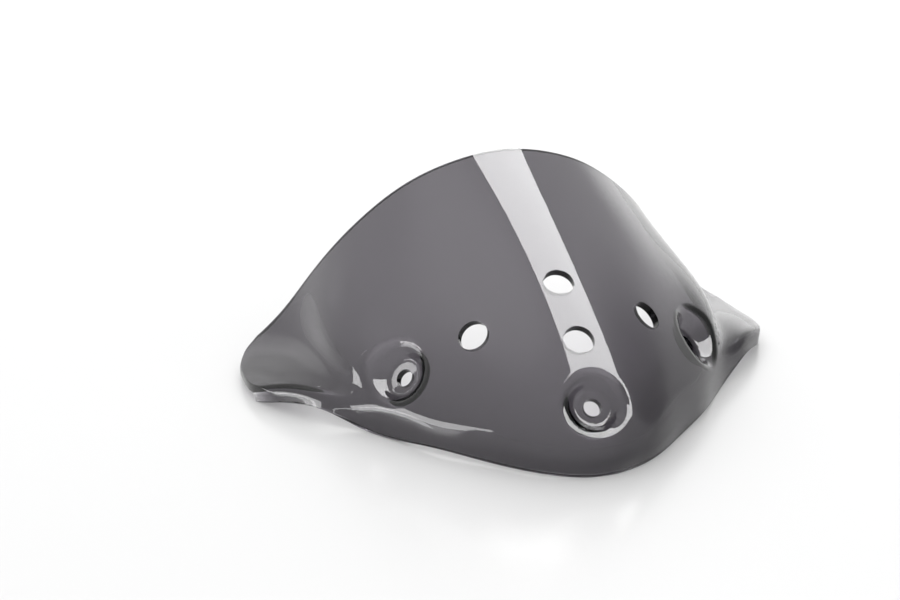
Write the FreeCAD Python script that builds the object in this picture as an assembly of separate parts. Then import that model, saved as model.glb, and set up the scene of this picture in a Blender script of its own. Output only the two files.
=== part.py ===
import FreeCAD, Part
import math
import os

# Headlight cowl: one sheet of clear tinted plastic, drawn hot into a small visor.
# Millimetres. X is sideways and the cowl is the same on both sides of X = 0, -Y is
# the nose, +Z is up. Z = 0 is the plane that the nose and the two wings rest on.
# While it is built, Y = 0 is just behind the foot of the nose; at the end the cowl is
# moved back so that the origin lies under its middle.

os.makedirs("parts", exist_ok=True)

V = FreeCAD.Vector
UP = V(0, 0, 1)

# Driving dimensions
sheet = 3.0              # thickness of the sheet
bend_share = 0.6         # the bend between lip and face takes this share of the lip
vent_bore = 12.0         # the four round vents
screw_bore = 7.0         # clearance holes for the three rubber-nut screws
seat_radius = 7.5        # flat round seat at the bottom of each screw recess
recess_depth = 6.0       # from the outer face down to the seat, on the recess axis
recess_slope = 48.0      # slope of the recess wall, in degrees from the seat
seat_round = 1.5         # corner between seat and wall
rim_round = 5.0          # soft edge where the recess runs out into the face
inner_round = 2.5        # the same place on the inside
cut_past = 20.0          # how far cutters reach past the sheet

# The sheet is laid through seventeen sections: the nine listed here, from the middle
# to past the wing's end, and the mirror images of the last eight. Each one stands on
# the lip's free edge, climbs the lip to the bend, and runs over the face to the rear
# edge.
# lip edge (x, y, z), bend (x, y, z), rear edge (x, y, z)
section_points = [
    ((0, 0.5, 0), (0, -2.5, 10.5), (0, 124, 89)),
    ((20, 5.5, 1.2), (20, 3, 11), (25, 126, 84)),
    ((38, 21.5, 1.6), (38, 20, 11.5), (45, 130.5, 72.5)),
    ((56, 40, 2.5), (56, 41, 11), (63, 136, 55)),
    ((74, 65.5, 0.9), (73, 63.5, 10.5), (77, 145, 33.5)),
    ((86.5, 77, 6), (86, 79, 12.5), (88, 148, 18.5)),
    ((95, 87, 6), (95.5, 89.3, 12), (98, 148.5, 9.6)),
    ((103.5, 97.5, 3.3), (104.2, 99.8, 8.4), (105, 147, 5.8)),
    ((112, 109, -1), (113, 111, 3), (112, 145, 0.5)),
]
# How each section leaves the bend and reaches the rear edge: the rise in degrees and
# the pull as a share of the chord at the bend, the same two at the rear edge, and how
# far the section swells sideways
section_shape = [
    (66, 0.21, 20, 0.50, 0),
    (62, 0.20, 20.5, 0.49, 0),
    (55, 0.19, 17, 0.48, 1),
    (44, 0.23, 13, 0.49, 4),
    (30, 0.40, 8, 0.53, 6),
    (9, 0.55, 7.5, 0.45, -4),
    (1, 0.50, 2, 0.38, -2),
    (2, 0.45, 2, 0.35, 0),
    (2, 0.35, 2, 0.35, 0),
]
# Seen from above, both wings are trimmed along a curve through these places, from the
# lip round to the rear edge
wing_trim = [
    (99.5, 92),
    (104.3, 100.3),
    (107.2, 107.5),
    (108.3, 116),
    (108, 125),
    (106.8, 134),
    (103.5, 142),
    (98, 147.7),
    (91, 151),
]

# Places over which the holes lie on the face: how far to the side and how far back
vent_places = [(0, 29), (0, 53), (35.5, 50), (-35.5, 50)]
# The same for the screw recesses, with the way each one looks: degrees round from
# straight ahead, and degrees up from level
recess_places = [(0, 8.5, 0, 42), (62.5, 62, 60, 38), (-62.5, 62, -60, 38)]

# A pull of 0.6 makes the bend nearly a round arc
bend_pull = 0.6
lip_shares = (0, 0.5, 1)
bend_shares = (0.25, 0.5, 0.75)
face_shares = (0, 0.07, 0.15, 0.25, 0.37, 0.5, 0.63, 0.76, 0.88, 1)


def bezier(points, share):
    while len(points) > 1:
        points = [a * (1 - share) + b * share for a, b in zip(points, points[1:])]
    return points[0]


def section(points, shape):
    """Points of one section from the lip's free edge to the rear edge."""
    edge, bend, rear = [V(*p) for p in points]
    rise, pull, rear_rise, rear_pull, swell = shape
    along = rear - bend
    chord = along.Length
    along.z = 0
    along.normalize()
    sideways = along.cross(UP) * swell

    def slanted(angle):
        return along * math.cos(math.radians(angle)) + UP * math.sin(math.radians(angle))

    face = [bend,
            bend + slanted(rise) * (chord * pull) + sideways,
            rear - slanted(rear_rise) * (chord * rear_pull) + sideways,
            rear]
    # the bend takes the same length of the face as it takes of the lip
    lip_end = bend + (edge - bend) * bend_share
    start = (lip_end - bend).Length / (3 * (face[1] - face[0]).Length)
    face_start = bezier(face, start)
    turn = [lip_end,
            lip_end + (bend - lip_end) * bend_pull,
            face_start + (bend - face_start) * bend_pull,
            face_start]
    row = [edge + (lip_end - edge) * share for share in lip_shares]
    row += [bezier(turn, share) for share in bend_shares]
    row += [bezier(face, start + (1 - start) * share) for share in face_shares]
    return row


def mirrored(row):
    return [V(-p.x, p.y, p.z) for p in row]


def surface_through(rows):
    surface = Part.BSplineSurface()
    surface.interpolate(rows)
    return surface


def outer_surface():
    rows = [section(points, shape) for points, shape in zip(section_points, section_shape)]
    return surface_through([mirrored(row) for row in rows[:0:-1]] + rows)


def inner_surface(outer, facing):
    """The outer surface moved inwards by the sheet's thickness."""
    return surface_through([
        [outer.value(u, v) - outer.normal(u, v) * sheet * facing for v in outer.getVKnots()]
        for u in outer.getUKnots()])


def sheet_between(outer, inner):
    """The solid between two surfaces, closed round its edge by ruled faces."""
    outer_face = outer.toShape()
    inner_face = inner.toShape()
    rims = [Part.makeRuledSurface(a, b) for a, b in zip(outer_face.Edges, inner_face.Edges)]
    skin = Part.makeShell([outer_face, inner_face] + rims)
    skin.sewShape()
    return Part.makeSolid(skin)


def past_wing_end(side):
    """What lies outside the trim curve of the right wing (1) or of the left one (-1)."""
    places = [V(side * x, y, -cut_past) for x, y in wing_trim]
    curve = Part.BSplineCurve()
    curve.interpolate(places)
    beyond = V(side * cut_past, 0, 0)
    back = Part.makePolygon([places[-1],
                             places[-1] + V(0, cut_past, 0),
                             places[3] + V(0, 3 * cut_past, 0) + beyond,
                             places[3] - V(0, 2 * cut_past, 0) + beyond,
                             places[0] - V(0, cut_past, 0),
                             places[0]])
    return Part.Face(Part.Wire([curve.toShape()] + back.Edges)).extrude(UP * 3 * cut_past)


def over(surface, x, y):
    """The highest point of the surface over (x, y)."""
    line = Part.Line(V(x, y, -cut_past), V(x, y, cut_past))
    crossings = line.intersectCS(surface)[0]
    return max((V(p.X, p.Y, p.Z) for p in crossings), key=lambda p: p.z)


def looking(turn, rise):
    """The direction that is turned round from straight ahead and raised from level."""
    turn, rise = math.radians(turn), math.radians(rise)
    return V(math.sin(turn) * math.cos(rise), -math.cos(turn) * math.cos(rise), math.sin(rise))


def bore(top, out, diameter):
    return Part.makeCylinder(diameter / 2, 2 * cut_past, top - out * cut_past, out)


def turned_recess(top, out, grow):
    """The hollow of a recess as a turned solid, or that hollow grown on all sides."""
    slope = math.radians(recess_slope)
    floor_radius = seat_radius + grow * math.tan(slope / 2)
    height = recess_depth + grow + cut_past
    mouth_radius = floor_radius + height / math.tan(slope)
    outline = [V(0, 0, 0), V(floor_radius, 0, 0), V(mouth_radius, 0, height), V(0, 0, height)]
    turned = Part.Face(Part.makePolygon(outline + outline[:1])).revolve(V(), UP, 360)
    corner = [e for e in turned.Edges
              if isinstance(e.Curve, Part.Circle) and abs(e.CenterOfMass.z) < 0.01]
    turned = turned.makeFillet(seat_round + grow, corner)
    turned.Placement = FreeCAD.Placement(top - out * (recess_depth + grow),
                                         FreeCAD.Rotation(UP, out))
    return turned


def space_behind(surface, top, out):
    """The space behind the middle of the sheet near a place, deeper than a recess."""
    u, v = surface.parameter(top)
    u_low, u_high, v_low, v_high = surface.bounds()
    du = 0.22 * (u_high - u_low)
    dv = 0.22 * (v_high - v_low)
    piece = surface.toShape(max(u - du, u_low), min(u + du, u_high),
                            max(v - dv, v_low), min(v + dv, v_high))
    piece.translate(out * -(sheet / 2))
    return piece.extrude(out * -(recess_depth + 3 * sheet))


def rim_edges(solid, surface, top):
    """Edges where a recess or its cup meets one face of the sheet."""
    reach = seat_radius + 3 * (recess_depth + sheet)
    found = []
    for edge in solid.Edges:
        span = edge.LastParameter - edge.FirstParameter
        points = [edge.valueAt(edge.FirstParameter + span * share) for share in (0.2, 0.5, 0.8)]
        if all(p.distanceToPoint(top) < reach
               and surface.value(*surface.parameter(p)).distanceToPoint(p) < 0.02
               for p in points):
            found.append(edge)
    return found


def with_recess(solid, outer, inner, place):
    """Draw the sheet in to a cup with a flat seat, rounded where it meets the sheet."""
    x, y, turn, rise = place
    top, out = over(outer, x, y), looking(turn, rise)
    cup = turned_recess(top, out, sheet).common(space_behind(outer, top, out))
    solid = solid.fuse(cup).cut(turned_recess(top, out, 0))
    solid = solid.makeFillet(rim_round, rim_edges(solid, outer, top))
    solid = solid.makeFillet(inner_round, rim_edges(solid, inner, top))
    return solid.cut(bore(top, out, screw_bore))


outer = outer_surface()
# which way the surface's own normal points: 1 is out of the cowl, -1 is into it
crown = over(outer, *vent_places[0])
facing = math.copysign(1, outer.normal(*outer.parameter(crown)).z)
inner = inner_surface(outer, facing)
cowl = sheet_between(outer, inner)
for side in (1, -1):
    cowl = cowl.cut(past_wing_end(side))
for place in recess_places:
    cowl = with_recess(cowl, outer, inner, place)
for x, y in vent_places:
    top = over(outer, x, y)
    out = outer.normal(*outer.parameter(top)) * facing
    cowl = cowl.cut(bore(top, out, vent_bore))
box = cowl.optimalBoundingBox()
cowl.translate(V(0, -(box.YMin + box.YMax) / 2, -box.ZMin))
cowl.Solids[0].exportStep("parts/cowl_shell.step")
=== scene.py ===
import math

import bpy
import numpy as np
from mathutils import Matrix, Vector


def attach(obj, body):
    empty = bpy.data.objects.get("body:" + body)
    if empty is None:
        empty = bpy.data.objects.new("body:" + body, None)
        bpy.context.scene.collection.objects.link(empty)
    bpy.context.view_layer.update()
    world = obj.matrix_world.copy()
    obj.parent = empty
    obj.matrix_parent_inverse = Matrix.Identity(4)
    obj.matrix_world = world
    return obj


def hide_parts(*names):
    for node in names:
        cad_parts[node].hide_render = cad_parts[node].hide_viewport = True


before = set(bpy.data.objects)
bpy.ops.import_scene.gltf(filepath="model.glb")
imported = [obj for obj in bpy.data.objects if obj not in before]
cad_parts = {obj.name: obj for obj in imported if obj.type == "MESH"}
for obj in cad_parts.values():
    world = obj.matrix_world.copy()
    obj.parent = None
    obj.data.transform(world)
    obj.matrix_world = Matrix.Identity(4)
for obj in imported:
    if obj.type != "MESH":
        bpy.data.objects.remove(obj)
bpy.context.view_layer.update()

# The sheet: the whole cowl is one 3 mm sheet of smoked acrylic, drawn hot over a mould.
# It has a crown, a turned-down lip and two flat wings, and its free edge is trimmed and
# polished. It is laid out in millimetres, with Y = 0 just behind the foot of the nose.
MM = 0.001
nose_to_middle = 73.8456  # from there back to the middle of the footprint
sheet_thickness = 3.0
bend_share = 0.6          # the bend between lip and face takes this share of the lip
bend_pull = 0.6           # and with this pull it is nearly a round arc
lip_shares = (0, 0.5, 1)
bend_shares = (0.25, 0.5, 0.75)
face_shares = (0, 0.07, 0.15, 0.25, 0.37, 0.5, 0.63, 0.76, 0.88, 1)
# lip edge (x, y, z), bend (x, y, z) and rear edge (x, y, z) of each section, then its
# rise and pull at the bend, its rise and pull at the rear edge, and its side swell
sections = [
    ((0, 0.5, 0), (0, -2.5, 10.5), (0, 124, 89), (66, 0.21, 20, 0.50, 0)),
    ((20, 5.5, 1.2), (20, 3, 11), (25, 126, 84), (62, 0.20, 20.5, 0.49, 0)),
    ((38, 21.5, 1.6), (38, 20, 11.5), (45, 130.5, 72.5), (55, 0.19, 17, 0.48, 1)),
    ((56, 40, 2.5), (56, 41, 11), (63, 136, 55), (44, 0.23, 13, 0.49, 4)),
    ((74, 65.5, 0.9), (73, 63.5, 10.5), (77, 145, 33.5), (30, 0.40, 8, 0.53, 6)),
    ((86.5, 77, 6), (86, 79, 12.5), (88, 148, 18.5), (9, 0.55, 7.5, 0.45, -4)),
    ((95, 87, 6), (95.5, 89.3, 12), (98, 148.5, 9.6), (1, 0.50, 2, 0.38, -2)),
    ((103.5, 97.5, 3.3), (104.2, 99.8, 8.4), (105, 147, 5.8), (2, 0.45, 2, 0.35, 0)),
    ((112, 109, -1), (113, 111, 3), (112, 145, 0.5), (2, 0.35, 2, 0.35, 0)),
]
# the end of a wing, seen from above
wing_trim = np.array([
    (99.5, 92), (104.3, 100.3), (107.2, 107.5), (108.3, 116), (108, 125), (106.8, 134),
    (103.5, 142), (98, 147.7), (91, 151)], float)
# how many lines the mesh has between lip and rear edge and between the wings, and where
# they crowd for the recesses, as (middle, half width) in shares of the way
lines_up, crowds_up = 160, [(0.28, 0.14)]
lines_across, crowds_across = 285, [(0.5, 0.05), (0.26, 0.05), (0.74, 0.05)]
crowding = 1.5
spacing_steps = 4001


def bezier(points, share):
    while len(points) > 1:
        points = [a * (1 - share) + b * share for a, b in zip(points, points[1:])]
    return points[0]


def section_row(edge, bend, rear, shape):
    """One section's points, from the lip's free edge to the rear edge."""
    edge, bend, rear = (np.array(place, float) for place in (edge, bend, rear))
    rise, pull, rear_rise, rear_pull, swell = shape
    along = (rear - bend) * (1, 1, 0)
    along /= np.linalg.norm(along)
    chord = np.linalg.norm(rear - bend)
    sideways = np.cross(along, (0, 0, 1)) * swell

    def slanted(angle):
        angle = math.radians(angle)
        return along * math.cos(angle) + np.array((0, 0, math.sin(angle)))

    face = [bend, bend + slanted(rise) * chord * pull + sideways,
            rear - slanted(rear_rise) * chord * rear_pull + sideways, rear]
    # the bend takes the same length of the face as it takes of the lip
    lip_end = bend + (edge - bend) * bend_share
    start = np.linalg.norm(lip_end - bend) / (3 * np.linalg.norm(face[1] - face[0]))
    face_start = bezier(face, start)
    turn = [lip_end, lip_end + (bend - lip_end) * bend_pull,
            face_start + (bend - face_start) * bend_pull, face_start]
    return ([edge + (lip_end - edge) * share for share in lip_shares]
            + [bezier(turn, share) for share in bend_shares]
            + [bezier(face, start + (1 - start) * share) for share in face_shares])


def through(knots, rows, places):
    """Natural cubic curves through the rows, one for each column, at the places."""
    count = len(knots)
    step = np.diff(knots)
    flat = rows.reshape(count, -1)
    system = np.eye(count)
    bends = np.zeros_like(flat)
    for k in range(1, count - 1):
        system[k, k - 1:k + 2] = step[k - 1], 2 * (step[k - 1] + step[k]), step[k]
        bends[k] = 6 * ((flat[k + 1] - flat[k]) / step[k]
                        - (flat[k] - flat[k - 1]) / step[k - 1])
    bends = np.linalg.solve(system, bends).reshape(rows.shape)
    k = np.clip(np.searchsorted(knots, places, side="right") - 1, 0, count - 2)
    column = np.arange(rows.shape[1])[None, :]
    width = step[k][..., None]
    b = (places - knots[k])[..., None] / width
    a = 1 - b
    return (a * rows[k, column] + b * rows[k + 1, column]
            + ((a ** 3 - a) * bends[k, column] + (b ** 3 - b) * bends[k + 1, column])
            * width ** 2 / 6)


def knots_of(rows):
    """Knots as far apart as all the curves together move from one row to the next."""
    moved = np.sqrt((np.diff(rows, axis=0) ** 2).sum(axis=(1, 2)))
    return np.concatenate(([0], np.cumsum(moved))) / moved.sum()


def spaced(count, crowds):
    """Shares from 0 to 1, closer together round each (middle, half width)."""
    fine = np.linspace(0, 1, spacing_steps)
    weight = 1 + sum(crowding * np.exp(-((fine - middle) / reach) ** 2)
                     for middle, reach in crowds)
    total = np.concatenate(([0], np.cumsum((weight[1:] + weight[:-1]) / 2)))
    return np.interp(np.linspace(0, 1, count), total / total[-1], fine)


half = np.array([section_row(*section) for section in sections])
rows = np.concatenate((half[:0:-1] * (-1, 1, 1), half))
columns = rows.transpose(1, 0, 2)
up_shares = spaced(lines_up, crowds_up)
across_shares = spaced(lines_across, crowds_across)
lines = through(knots_of(columns), columns, np.repeat(up_shares[:, None], len(rows), 1))
lines = lines.transpose(1, 0, 2)
side_knots = knots_of(rows)

# both skins stop at the wing's trim, which is cut straight down: it is looked for in the
# last part of the way across
trim_from = 0.8
trim_steps = 600
probe = np.repeat(np.linspace(trim_from, 1, trim_steps)[:, None], lines_up, 1)
trim_y = np.linspace(wing_trim[0, 1], wing_trim[-1, 1], trim_steps)
trim_x = through(wing_trim[:, 1], wing_trim[:, None, :1], trim_y[:, None])[:, 0, 0]


def facing(skin):
    """Which way a grid of points looks, out of the cowl."""
    normal = np.cross(np.gradient(skin, axis=0), np.gradient(skin, axis=1))
    return normal / np.linalg.norm(normal, axis=2)[..., None]


def shares_to_trim(path):
    """Where the grid's lines run across, from one wing's trim to the other's."""
    past = path[..., 0] - np.interp(path[..., 1], trim_y, trim_x)
    last = (past > 0).argmax(0)
    line = np.arange(len(last))
    beyond = past[last - 1, line] / (past[last - 1, line] - past[last, line])
    wing_end = probe[last - 1, 0] + beyond * (probe[1, 0] - probe[0, 0])
    return 0.5 + (wing_end[None, :] - 0.5) * (2 * across_shares[:, None] - 1)


path = through(side_knots, lines, probe)
outer = through(side_knots, lines, shares_to_trim(path))
outward = facing(outer)
under = through(side_knots, lines, shares_to_trim(path - facing(path) * sheet_thickness))
inner = under - facing(under) * sheet_thickness

# The three screw recesses are drawn in with the sheet, which stays 3 mm thick there: each
# has a flat round seat, a cone wall, and soft edges where the hot sheet ran over the
# mould's plug.
seat_radius = 7.5
recess_depth = 6.0
recess_slope = math.radians(48)
seat_softness = 0.7
rim_softness = 3.8
inner_softness = 1.3
# place over which it lies (x, y), then degrees round from straight ahead, and degrees up
recess_places = [(0, 8.5, 0, 42), (62.5, 62, 60, 38), (-62.5, 62, -60, 38)]
under_radius = seat_radius + sheet_thickness * math.tan(recess_slope / 2)
under_depth = recess_depth + sheet_thickness
face_looks_up = 0.2       # the face looks up by at least this, and the lip by less


def on_face(x, y):
    """The point of the outer face over (x, y), and the way that the face looks there."""
    far = (outer[..., 0] - x) ** 2 + (outer[..., 1] - y) ** 2
    far[outward[..., 2] < face_looks_up] = math.inf
    spot = np.unravel_index(far.argmin(), far.shape)
    near, normal = outer[spot], outward[spot]
    z = near[2] - ((x - near[0]) * normal[0] + (y - near[1]) * normal[1]) / normal[2]
    return np.array((x, y, z)), normal


def looking(turn, rise):
    """The way so many degrees round from straight ahead, and so many up from level."""
    turn, rise = math.radians(turn), math.radians(rise)
    return np.array((math.sin(turn) * math.cos(rise), -math.cos(turn) * math.cos(rise),
                     math.sin(rise)))


def lower_of(a, b, softness):
    """The lower of two heights, with a soft change from one to the other."""
    return np.minimum(a, b) - np.maximum(softness - abs(a - b), 0) ** 2 / (4 * softness)


def drawn_in(skin, top, out, radius, depth, softness):
    """The skin with a cup drawn into it from the top, straight against the out way."""
    away = skin - top
    height = away @ out
    reach = np.linalg.norm(away - height[..., None] * out, axis=2)
    wall = (reach - radius) * math.tan(recess_slope) - depth
    wall = -lower_of(-wall, np.full_like(wall, depth), seat_softness)
    return skin + (lower_of(height, wall, softness) - height)[..., None] * out


recesses = [(on_face(x, y)[0], looking(turn, rise)) for x, y, turn, rise in recess_places]
outer_skin, inner_skin = outer, inner
for top, out in recesses:
    outer_skin = drawn_in(outer_skin, top, out, seat_radius, recess_depth, rim_softness)
    inner_skin = drawn_in(inner_skin, top, out, under_radius, under_depth, inner_softness)

# The edge all round is sawn, flamed and polished, so it is square with a little crown,
# and it is rubbed flat where the cowl rests on it.
edge_crown = 0.35
edge_shares = (0.04, 0.13, 0.3, 0.5, 0.7, 0.87, 0.96)
lines_in = 2              # the edge looks away from the line this many further in


def all_round(grid):
    return np.concatenate((grid[:-1, 0], grid[-1, :-1], grid[:0:-1, -1], grid[0, :0:-1]))


def further_in(count):
    return np.clip(np.arange(count), lines_in, count - 1 - lines_in)


outside, inside = all_round(outer_skin), all_round(inner_skin)
square = inside - outside
square /= np.linalg.norm(square, axis=1)[:, None]
behind_edge = outer_skin[further_in(lines_across)][:, further_in(lines_up)]
outwards = outside - all_round(behind_edge)
outwards -= (outwards * square).sum(1)[:, None] * square
outwards /= np.linalg.norm(outwards, axis=1)[:, None]
rings = []
for share in edge_shares:
    bulge = edge_crown * (1 - abs(2 * share - 1) ** 3)
    rings.append(outside + (inside - outside) * share + outwards * bulge)
points = np.concatenate((outer_skin.reshape(-1, 3), inner_skin.reshape(-1, 3), *rings))
points -= (0, nose_to_middle, 0)
points[:, 2] = np.maximum(points[:, 2], 0)

number = np.arange(lines_across * lines_up).reshape(lines_across, lines_up)
quads = np.stack((number[:-1, :-1], number[1:, :-1], number[1:, 1:], number[:-1, 1:]), -1)
quads = quads.reshape(-1, 4)
loops = [all_round(number)]
for k in range(len(rings)):
    first = 2 * number.size + k * len(outside)
    loops.append(np.arange(first, first + len(outside)))
loops.append(all_round(number) + number.size)
strips = [np.stack((b, np.roll(b, -1), np.roll(a, -1), a), -1)
          for a, b in zip(loops, loops[1:])]
faces = np.concatenate((quads, quads[:, ::-1] + number.size, *strips))

sheet_mesh = bpy.data.meshes.new("sheet_before_drilling")
sheet_mesh.from_pydata((points * MM).tolist(), [], faces.tolist())
sheet = bpy.data.objects.new("sheet_before_drilling", sheet_mesh)
bpy.context.collection.objects.link(sheet)

# The finish is clear acrylic with grey smoke all through it, so it is darker where the
# eye looks through more of it. Its colour is also painted darker towards the foot and
# clear at the crown: painted shade for the shaded floor seen through the lower sheet.
# It is glossy, slightly wavy, and has the faintest haze from wiping.
smoke_tint = (0.424, 0.404, 0.438, 1)
smoke_density = 1030.0
# painted shade: the sheet's colour is darker at the foot and clear at the crown
shaded_foot_tone = (0.66, 0.66, 0.665, 1)
unshaded_crown_tone = (1, 1, 1, 1)
shade_low_height, shade_high_height = -0.005, 0.055
wave_scale, wave_depth, wave_strength = 22.0, 0.0002, 0.2
haze_scale, haze_tone, haze_roughness = 90.0, 0.04, 0.02


class Signal:
    """A socket of a node tree; sums on signals add Math nodes to the tree."""

    def __init__(self, socket):
        self.socket = socket

    @classmethod
    def node(cls, tree, kind, settings=None, values=None, out=0):
        made = tree.nodes.new(kind)
        for name, value in (settings or {}).items():
            setattr(made, name, value)
        for name, value in (values or {}).items():
            if isinstance(value, Signal):
                tree.links.new(value.socket, made.inputs[name])
            else:
                made.inputs[name].default_value = value
        return cls(made.outputs[out]) if made.outputs else None

    def maths(self, operation, first, second):
        return Signal.node(self.socket.id_data, "ShaderNodeMath", {"operation": operation},
                           {0: first, 1: second})

    def __add__(self, other):
        return self.maths("ADD", self, other)

    def __mul__(self, other):
        return self.maths("MULTIPLY", self, other)

    def __lt__(self, other):
        return self.maths("LESS_THAN", self, other)

    __radd__ = __add__
    __rmul__ = __mul__


smoke = bpy.data.materials.new("smoked_sheet")
smoke.use_nodes = True
shading = smoke.node_tree
shading.nodes.clear()
place = Signal.node(shading, "ShaderNodeTexCoord", out="Object")
waves = Signal.node(shading, "ShaderNodeTexNoise", {}, {
    "Vector": place, "Scale": wave_scale, "Detail": 1.0})
haze = Signal.node(shading, "ShaderNodeTexNoise", {}, {
    "Vector": place, "Scale": haze_scale, "Detail": 4.0})
wavy = Signal.node(shading, "ShaderNodeBump", {}, {
    "Strength": wave_strength, "Distance": wave_depth, "Height": waves})
height = Signal.node(shading, "ShaderNodeSeparateXYZ", {}, {"Vector": place}, out="Z")
# painted shade: the colour darkens from the crown's height down to the foot's, with random
# haze added
painted_shade_ramp = Signal.node(shading, "ShaderNodeMapRange", {"interpolation_type": "SMOOTHSTEP"}, {
    "Value": height, "From Min": shade_low_height, "From Max": shade_high_height})
# a colour Mix: 0 is its factor, 6 and 7 are its two colours, and 2 is its result
shade_and_haze_tone = Signal.node(shading, "ShaderNodeMix", {"data_type": "RGBA"}, {
    0: painted_shade_ramp + haze * haze_tone, 6: shaded_foot_tone, 7: unshaded_crown_tone}, out=2)
polished = Signal.node(shading, "ShaderNodeBsdfPrincipled", {}, {
    "Base Color": shade_and_haze_tone, "Roughness": haze * haze_roughness, "Normal": wavy,
    "Transmission Weight": 1.0, "IOR": 1.49})
body = Signal.node(shading, "ShaderNodeVolumeAbsorption", {}, {
    "Color": smoke_tint, "Density": smoke_density})
Signal.node(shading, "ShaderNodeOutputMaterial", {}, {"Surface": polished, "Volume": body})

# The holes are drilled after the drawing: four 12 mm vents square to the face, and a
# 7 mm clearance hole through the seat of each recess, by which the cowl is fixed.
vent_places = [(0, 29), (0, 53), (35.5, 50), (-35.5, 50)]
vent_width = 12.0
screw_width = 7.0
drill_reach = 24.0
drill_sides = 94          # so that no side's edge meets the sheet's middle line
sharp_edge = math.radians(35)
vents = [on_face(x, y) for x, y in vent_places]
holes = vents + recesses
hole_widths = [vent_width] * len(vents) + [screw_width] * len(recesses)
centres = bpy.data.meshes.new("hole_centres")
tops = [tuple((top - (0, nose_to_middle, 0)) * MM) for top, _ in holes]
centres.from_pydata(tops, [], [])
ways = centres.attributes.new("way", "FLOAT_VECTOR", "POINT")
ways.data.foreach_set("vector", np.concatenate([out for _, out in holes]))
widths = centres.attributes.new("width", "FLOAT", "POINT")
widths.data.foreach_set("value", [width * MM for width in hole_widths])
hole_centres = bpy.data.objects.new("hole_centres", centres)
bpy.context.collection.objects.link(hole_centres)

drilling = bpy.data.node_groups.new("drilling", "GeometryNodeTree")
for name, kind in (("Sheet", "Geometry"), ("Hole centres", "Object"),
                   ("Drill reach", "Float"), ("Sharper than", "Float"),
                   ("Finish", "Material")):
    drilling.interface.new_socket(name, in_out="INPUT", socket_type="NodeSocket" + kind)
drilling.interface.new_socket("Drilled", in_out="OUTPUT", socket_type="NodeSocketGeometry")
given = drilling.nodes.new("NodeGroupInput")
given = {socket.name: Signal(socket) for socket in given.outputs if socket.name}
spots = Signal.node(drilling, "GeometryNodeObjectInfo", {}, {0: given["Hole centres"]},
                    out="Geometry")
way = Signal.node(drilling, "GeometryNodeInputNamedAttribute",
                  {"data_type": "FLOAT_VECTOR"}, {"Name": "way"})
width = Signal.node(drilling, "GeometryNodeInputNamedAttribute",
                    {"data_type": "FLOAT"}, {"Name": "width"})
turn = Signal.node(drilling, "FunctionNodeAlignRotationToVector", {"axis": "Z"},
                   {"Vector": way})
# a drill one wide and one long, which each hole stretches to its own size
drill = Signal.node(drilling, "GeometryNodeMeshCylinder", {},
                    {"Vertices": drill_sides, "Radius": 0.5, "Depth": 1.0})
size = Signal.node(drilling, "ShaderNodeCombineXYZ", {},
                   {0: width, 1: width, 2: given["Drill reach"]})
drills = Signal.node(drilling, "GeometryNodeInstanceOnPoints", {},
                     {"Points": spots, "Instance": drill, "Rotation": turn, "Scale": size})
drills = Signal.node(drilling, "GeometryNodeRealizeInstances", {}, {0: drills})
drilled = Signal.node(drilling, "GeometryNodeMeshBoolean",
                      {"operation": "DIFFERENCE", "solver": "EXACT"},
                      {0: given["Sheet"], 1: drills})
drilled = Signal.node(drilling, "GeometryNodeSetShadeSmooth", {"domain": "FACE"},
                      {"Geometry": drilled, "Shade Smooth": True})
bend = Signal.node(drilling, "GeometryNodeInputMeshEdgeAngle")
drilled = Signal.node(drilling, "GeometryNodeSetShadeSmooth", {"domain": "EDGE"},
                      {"Geometry": drilled, "Shade Smooth": bend < given["Sharper than"]})
drilled = Signal.node(drilling, "GeometryNodeRealizeInstances", {}, {0: drilled})
drilled = Signal.node(drilling, "GeometryNodeSetMaterial", {},
                      {"Geometry": drilled, "Material": given["Finish"]})
Signal.node(drilling, "NodeGroupOutput", {}, {0: drilled})

drill_press = sheet.modifiers.new("drilling", "NODES")
drill_press.node_group = drilling
settings = {"Hole centres": hole_centres, "Drill reach": drill_reach * MM,
            "Sharper than": sharp_edge, "Finish": smoke}
for item in drilling.interface.items_tree:
    if item.name in settings:
        drill_press[item.identifier] = settings[item.name]
finished = bpy.data.meshes.new_from_object(sheet.evaluated_get(
    bpy.context.evaluated_depsgraph_get()))
cowl = bpy.data.objects.new("cowl_sheet", finished)
bpy.context.collection.objects.link(cowl)
bpy.data.objects.remove(sheet)
bpy.data.objects.remove(hole_centres)
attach(cowl, "root")
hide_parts("cowl_shell")

# The floor is a wide sheet of smooth white plastic over a dim lamp table, so that it
# stays pale under the cowl too.
floor_width = 8.0
floor_middle = (0, 0.5, 0)
floor_white = (0.66, 0.66, 0.66, 1)
floor_roughness = 0.2
floor_glow = 0.15
pale = bpy.data.materials.new("pale_floor")
pale.use_nodes = True
plastic = pale.node_tree.nodes["Principled BSDF"]
plastic.inputs["Base Color"].default_value = floor_white
plastic.inputs["Roughness"].default_value = floor_roughness
plastic.inputs["Emission Color"].default_value = (1, 1, 1, 1)
plastic.inputs["Emission Strength"].default_value = floor_glow
bpy.ops.mesh.primitive_plane_add(size=floor_width, location=floor_middle)
floor = bpy.context.object
floor.name = "floor"
floor.data.materials.append(pale)

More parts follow.
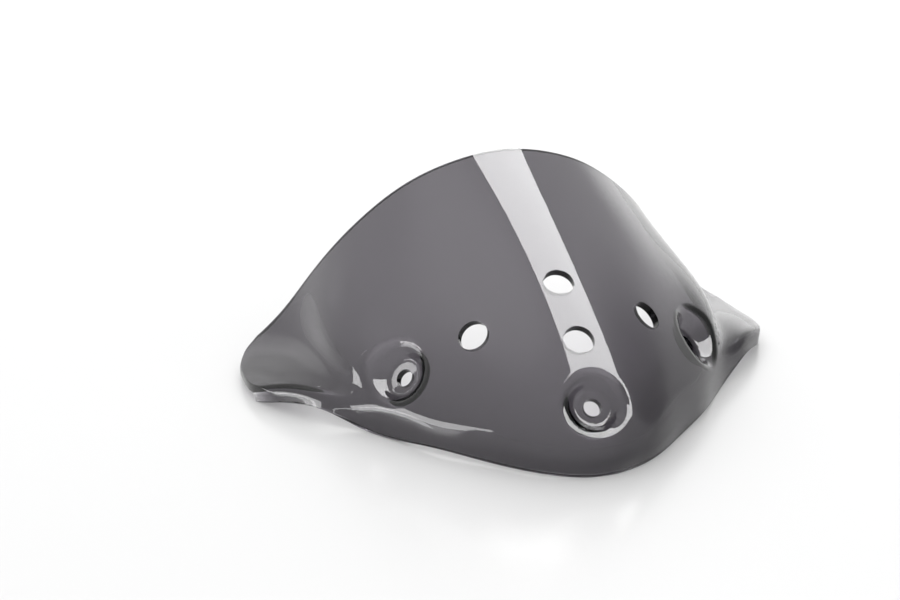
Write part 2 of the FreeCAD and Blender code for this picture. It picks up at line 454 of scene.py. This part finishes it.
# The room is a white tent that is brighter at some sides than at others. Each patch has
# the turn and rise of its middle, the angles from there where it begins and where it is
# full, and how much it adds to the cloth's brightness.
cloth_brightness = 1.0
patches = [
    (97, 22, 28, 10, -0.6),
    (150, -2, 30, 10, 0.85),
    (-120, 62, 26, 6, 0.4),
    (-160, 24, 18, 6, 0.5),
]
world = bpy.data.worlds.new("tent")
world.use_nodes = True
cloth = world.node_tree
cloth.nodes["Background"].inputs["Color"].default_value = (1, 1, 1, 1)
bpy.context.scene.world = world
bpy.context.scene.view_settings.view_transform = "Standard"
seen = Signal.node(cloth, "ShaderNodeTexCoord", out="Generated")
brightness = cloth_brightness
for turn, rise, begins, full, gain in patches:
    nearness = Signal.node(cloth, "ShaderNodeVectorMath", {"operation": "DOT_PRODUCT"},
                           {0: seen, 1: looking(turn, rise)}, out="Value")
    patch = Signal.node(cloth, "ShaderNodeMapRange", {"interpolation_type": "SMOOTHSTEP"}, {
        "Value": nearness, "From Min": math.cos(math.radians(begins)),
        "From Max": math.cos(math.radians(full))})
    brightness = patch * gain + brightness
cloth.links.new(brightness.socket, cloth.nodes["Background"].inputs["Strength"])


# The lamps are soft boxes. All but the back one only show as reflections in the cowl's
# gloss, and the back one only lights what is matt. Their places are in metres.
def softbox(name, middle, across, along, glow, lights_matt=False, fades=0.0):
    """A flat lamp with its two side vectors, facing the cowl and fading along one."""
    middle, across, along = Vector(middle), Vector(across), Vector(along)
    lamp = bpy.data.lights.new(name, "AREA")
    lamp.shape = "RECTANGLE"
    lamp.size = across.length
    lamp.size_y = along.length
    lamp.energy = glow * math.pi * across.length * along.length
    backwards = across.normalized().cross(along.normalized())
    if backwards.dot(middle) < 0:
        across, backwards = -across, -backwards
    if fades:
        lamp.use_nodes = True
        bulb = lamp.node_tree
        at = Signal.node(bulb, "ShaderNodeNewGeometry", out="Parametric")
        at = Signal.node(bulb, "ShaderNodeSeparateXYZ", {}, {"Vector": at}, out="Y")
        strength = bulb.nodes["Emission"].inputs["Strength"]
        bulb.links.new((1.0 + at * -fades).socket, strength)
    box = bpy.data.objects.new(name, lamp)
    bpy.context.collection.objects.link(box)
    turned = Matrix((across.normalized(), along.normalized(), backwards)).transposed()
    box.rotation_euler = turned.to_euler()
    box.location = middle
    box.visible_diffuse = lights_matt
    box.visible_glossy = not lights_matt
    box.visible_transmission = not lights_matt
    box.visible_camera = False


# the overhead box slopes up to the back; its ends are given as distances behind the cowl
# for a box one metre over the face, and it hangs twice as high
front_end, rear_end, back_slope = -0.445, 2.6, 0.515
hung, face_height = 2.0, 0.06
halfway = (front_end + rear_end) / 2
over_middle = hung * (1 + back_slope * halfway) + face_height
softbox("overhead", middle=(hung / 2, hung * halfway, over_middle), across=(hung, 0, 0),
        along=Vector((0, 1, back_slope)) * hung * (rear_end - front_end),
        glow=11.0, fades=0.4)
# a card that lies nearly flat just over the floor, and an upright strip farther away
softbox("card_left", middle=(-0.38, 0.0175, 0.016), across=(0, 0.135, 0),
        along=(-0.44, 0, 0.03), glow=4.2)
softbox("low_left", middle=(-2.0, 0.137, 0.14), across=(0, 1.346, 0),
        along=(0, 0, 0.28), glow=7.0)
# a narrow window high on the left, placed from the left recess's seat
left_seat = Vector((-0.060, -0.009, 0.020))
window_way = Vector(looking(-110.325, 36.95))
window_away, window_width, window_height = 2.0, 0.0321, 0.2828
level = Vector((0, 0, 1)).cross(window_way).normalized()
softbox("high_left", middle=left_seat + window_way * window_away,
        across=level * window_width, along=window_way.cross(level) * window_height,
        glow=6.5)
softbox("back", middle=(0.5, 1.9, 1.5), across=(1.8, 0, 0), along=(0, -0.8, 1.2),
        glow=2.8, lights_matt=True)

# The camera stands a little round to the left of the nose, and looks down over the cowl
# through a long lens. Its place is measured from the foot of the nose, in metres along
# its own three ways.
look_down = math.radians(21.4192)
round_left = math.radians(17.0756)
camera_left, camera_raised, camera_away = 0.057184, 0.066021, 1.11986
right = Vector((math.cos(round_left), -math.sin(round_left), 0))
ahead = Vector((math.sin(round_left) * math.cos(look_down),
                math.cos(round_left) * math.cos(look_down), -math.sin(look_down)))
up = right.cross(ahead)
foot = Vector((0, -nose_to_middle * MM, 0))
camera = bpy.data.objects.new("camera", bpy.data.cameras.new("camera"))
bpy.context.collection.objects.link(camera)
camera.data.sensor_width = 36
camera.data.lens = 120
camera.location = foot - right * camera_left + up * camera_raised - ahead * camera_away
camera.rotation_euler = Matrix((right, up, -ahead)).transposed().to_euler()
bpy.context.scene.camera = camera
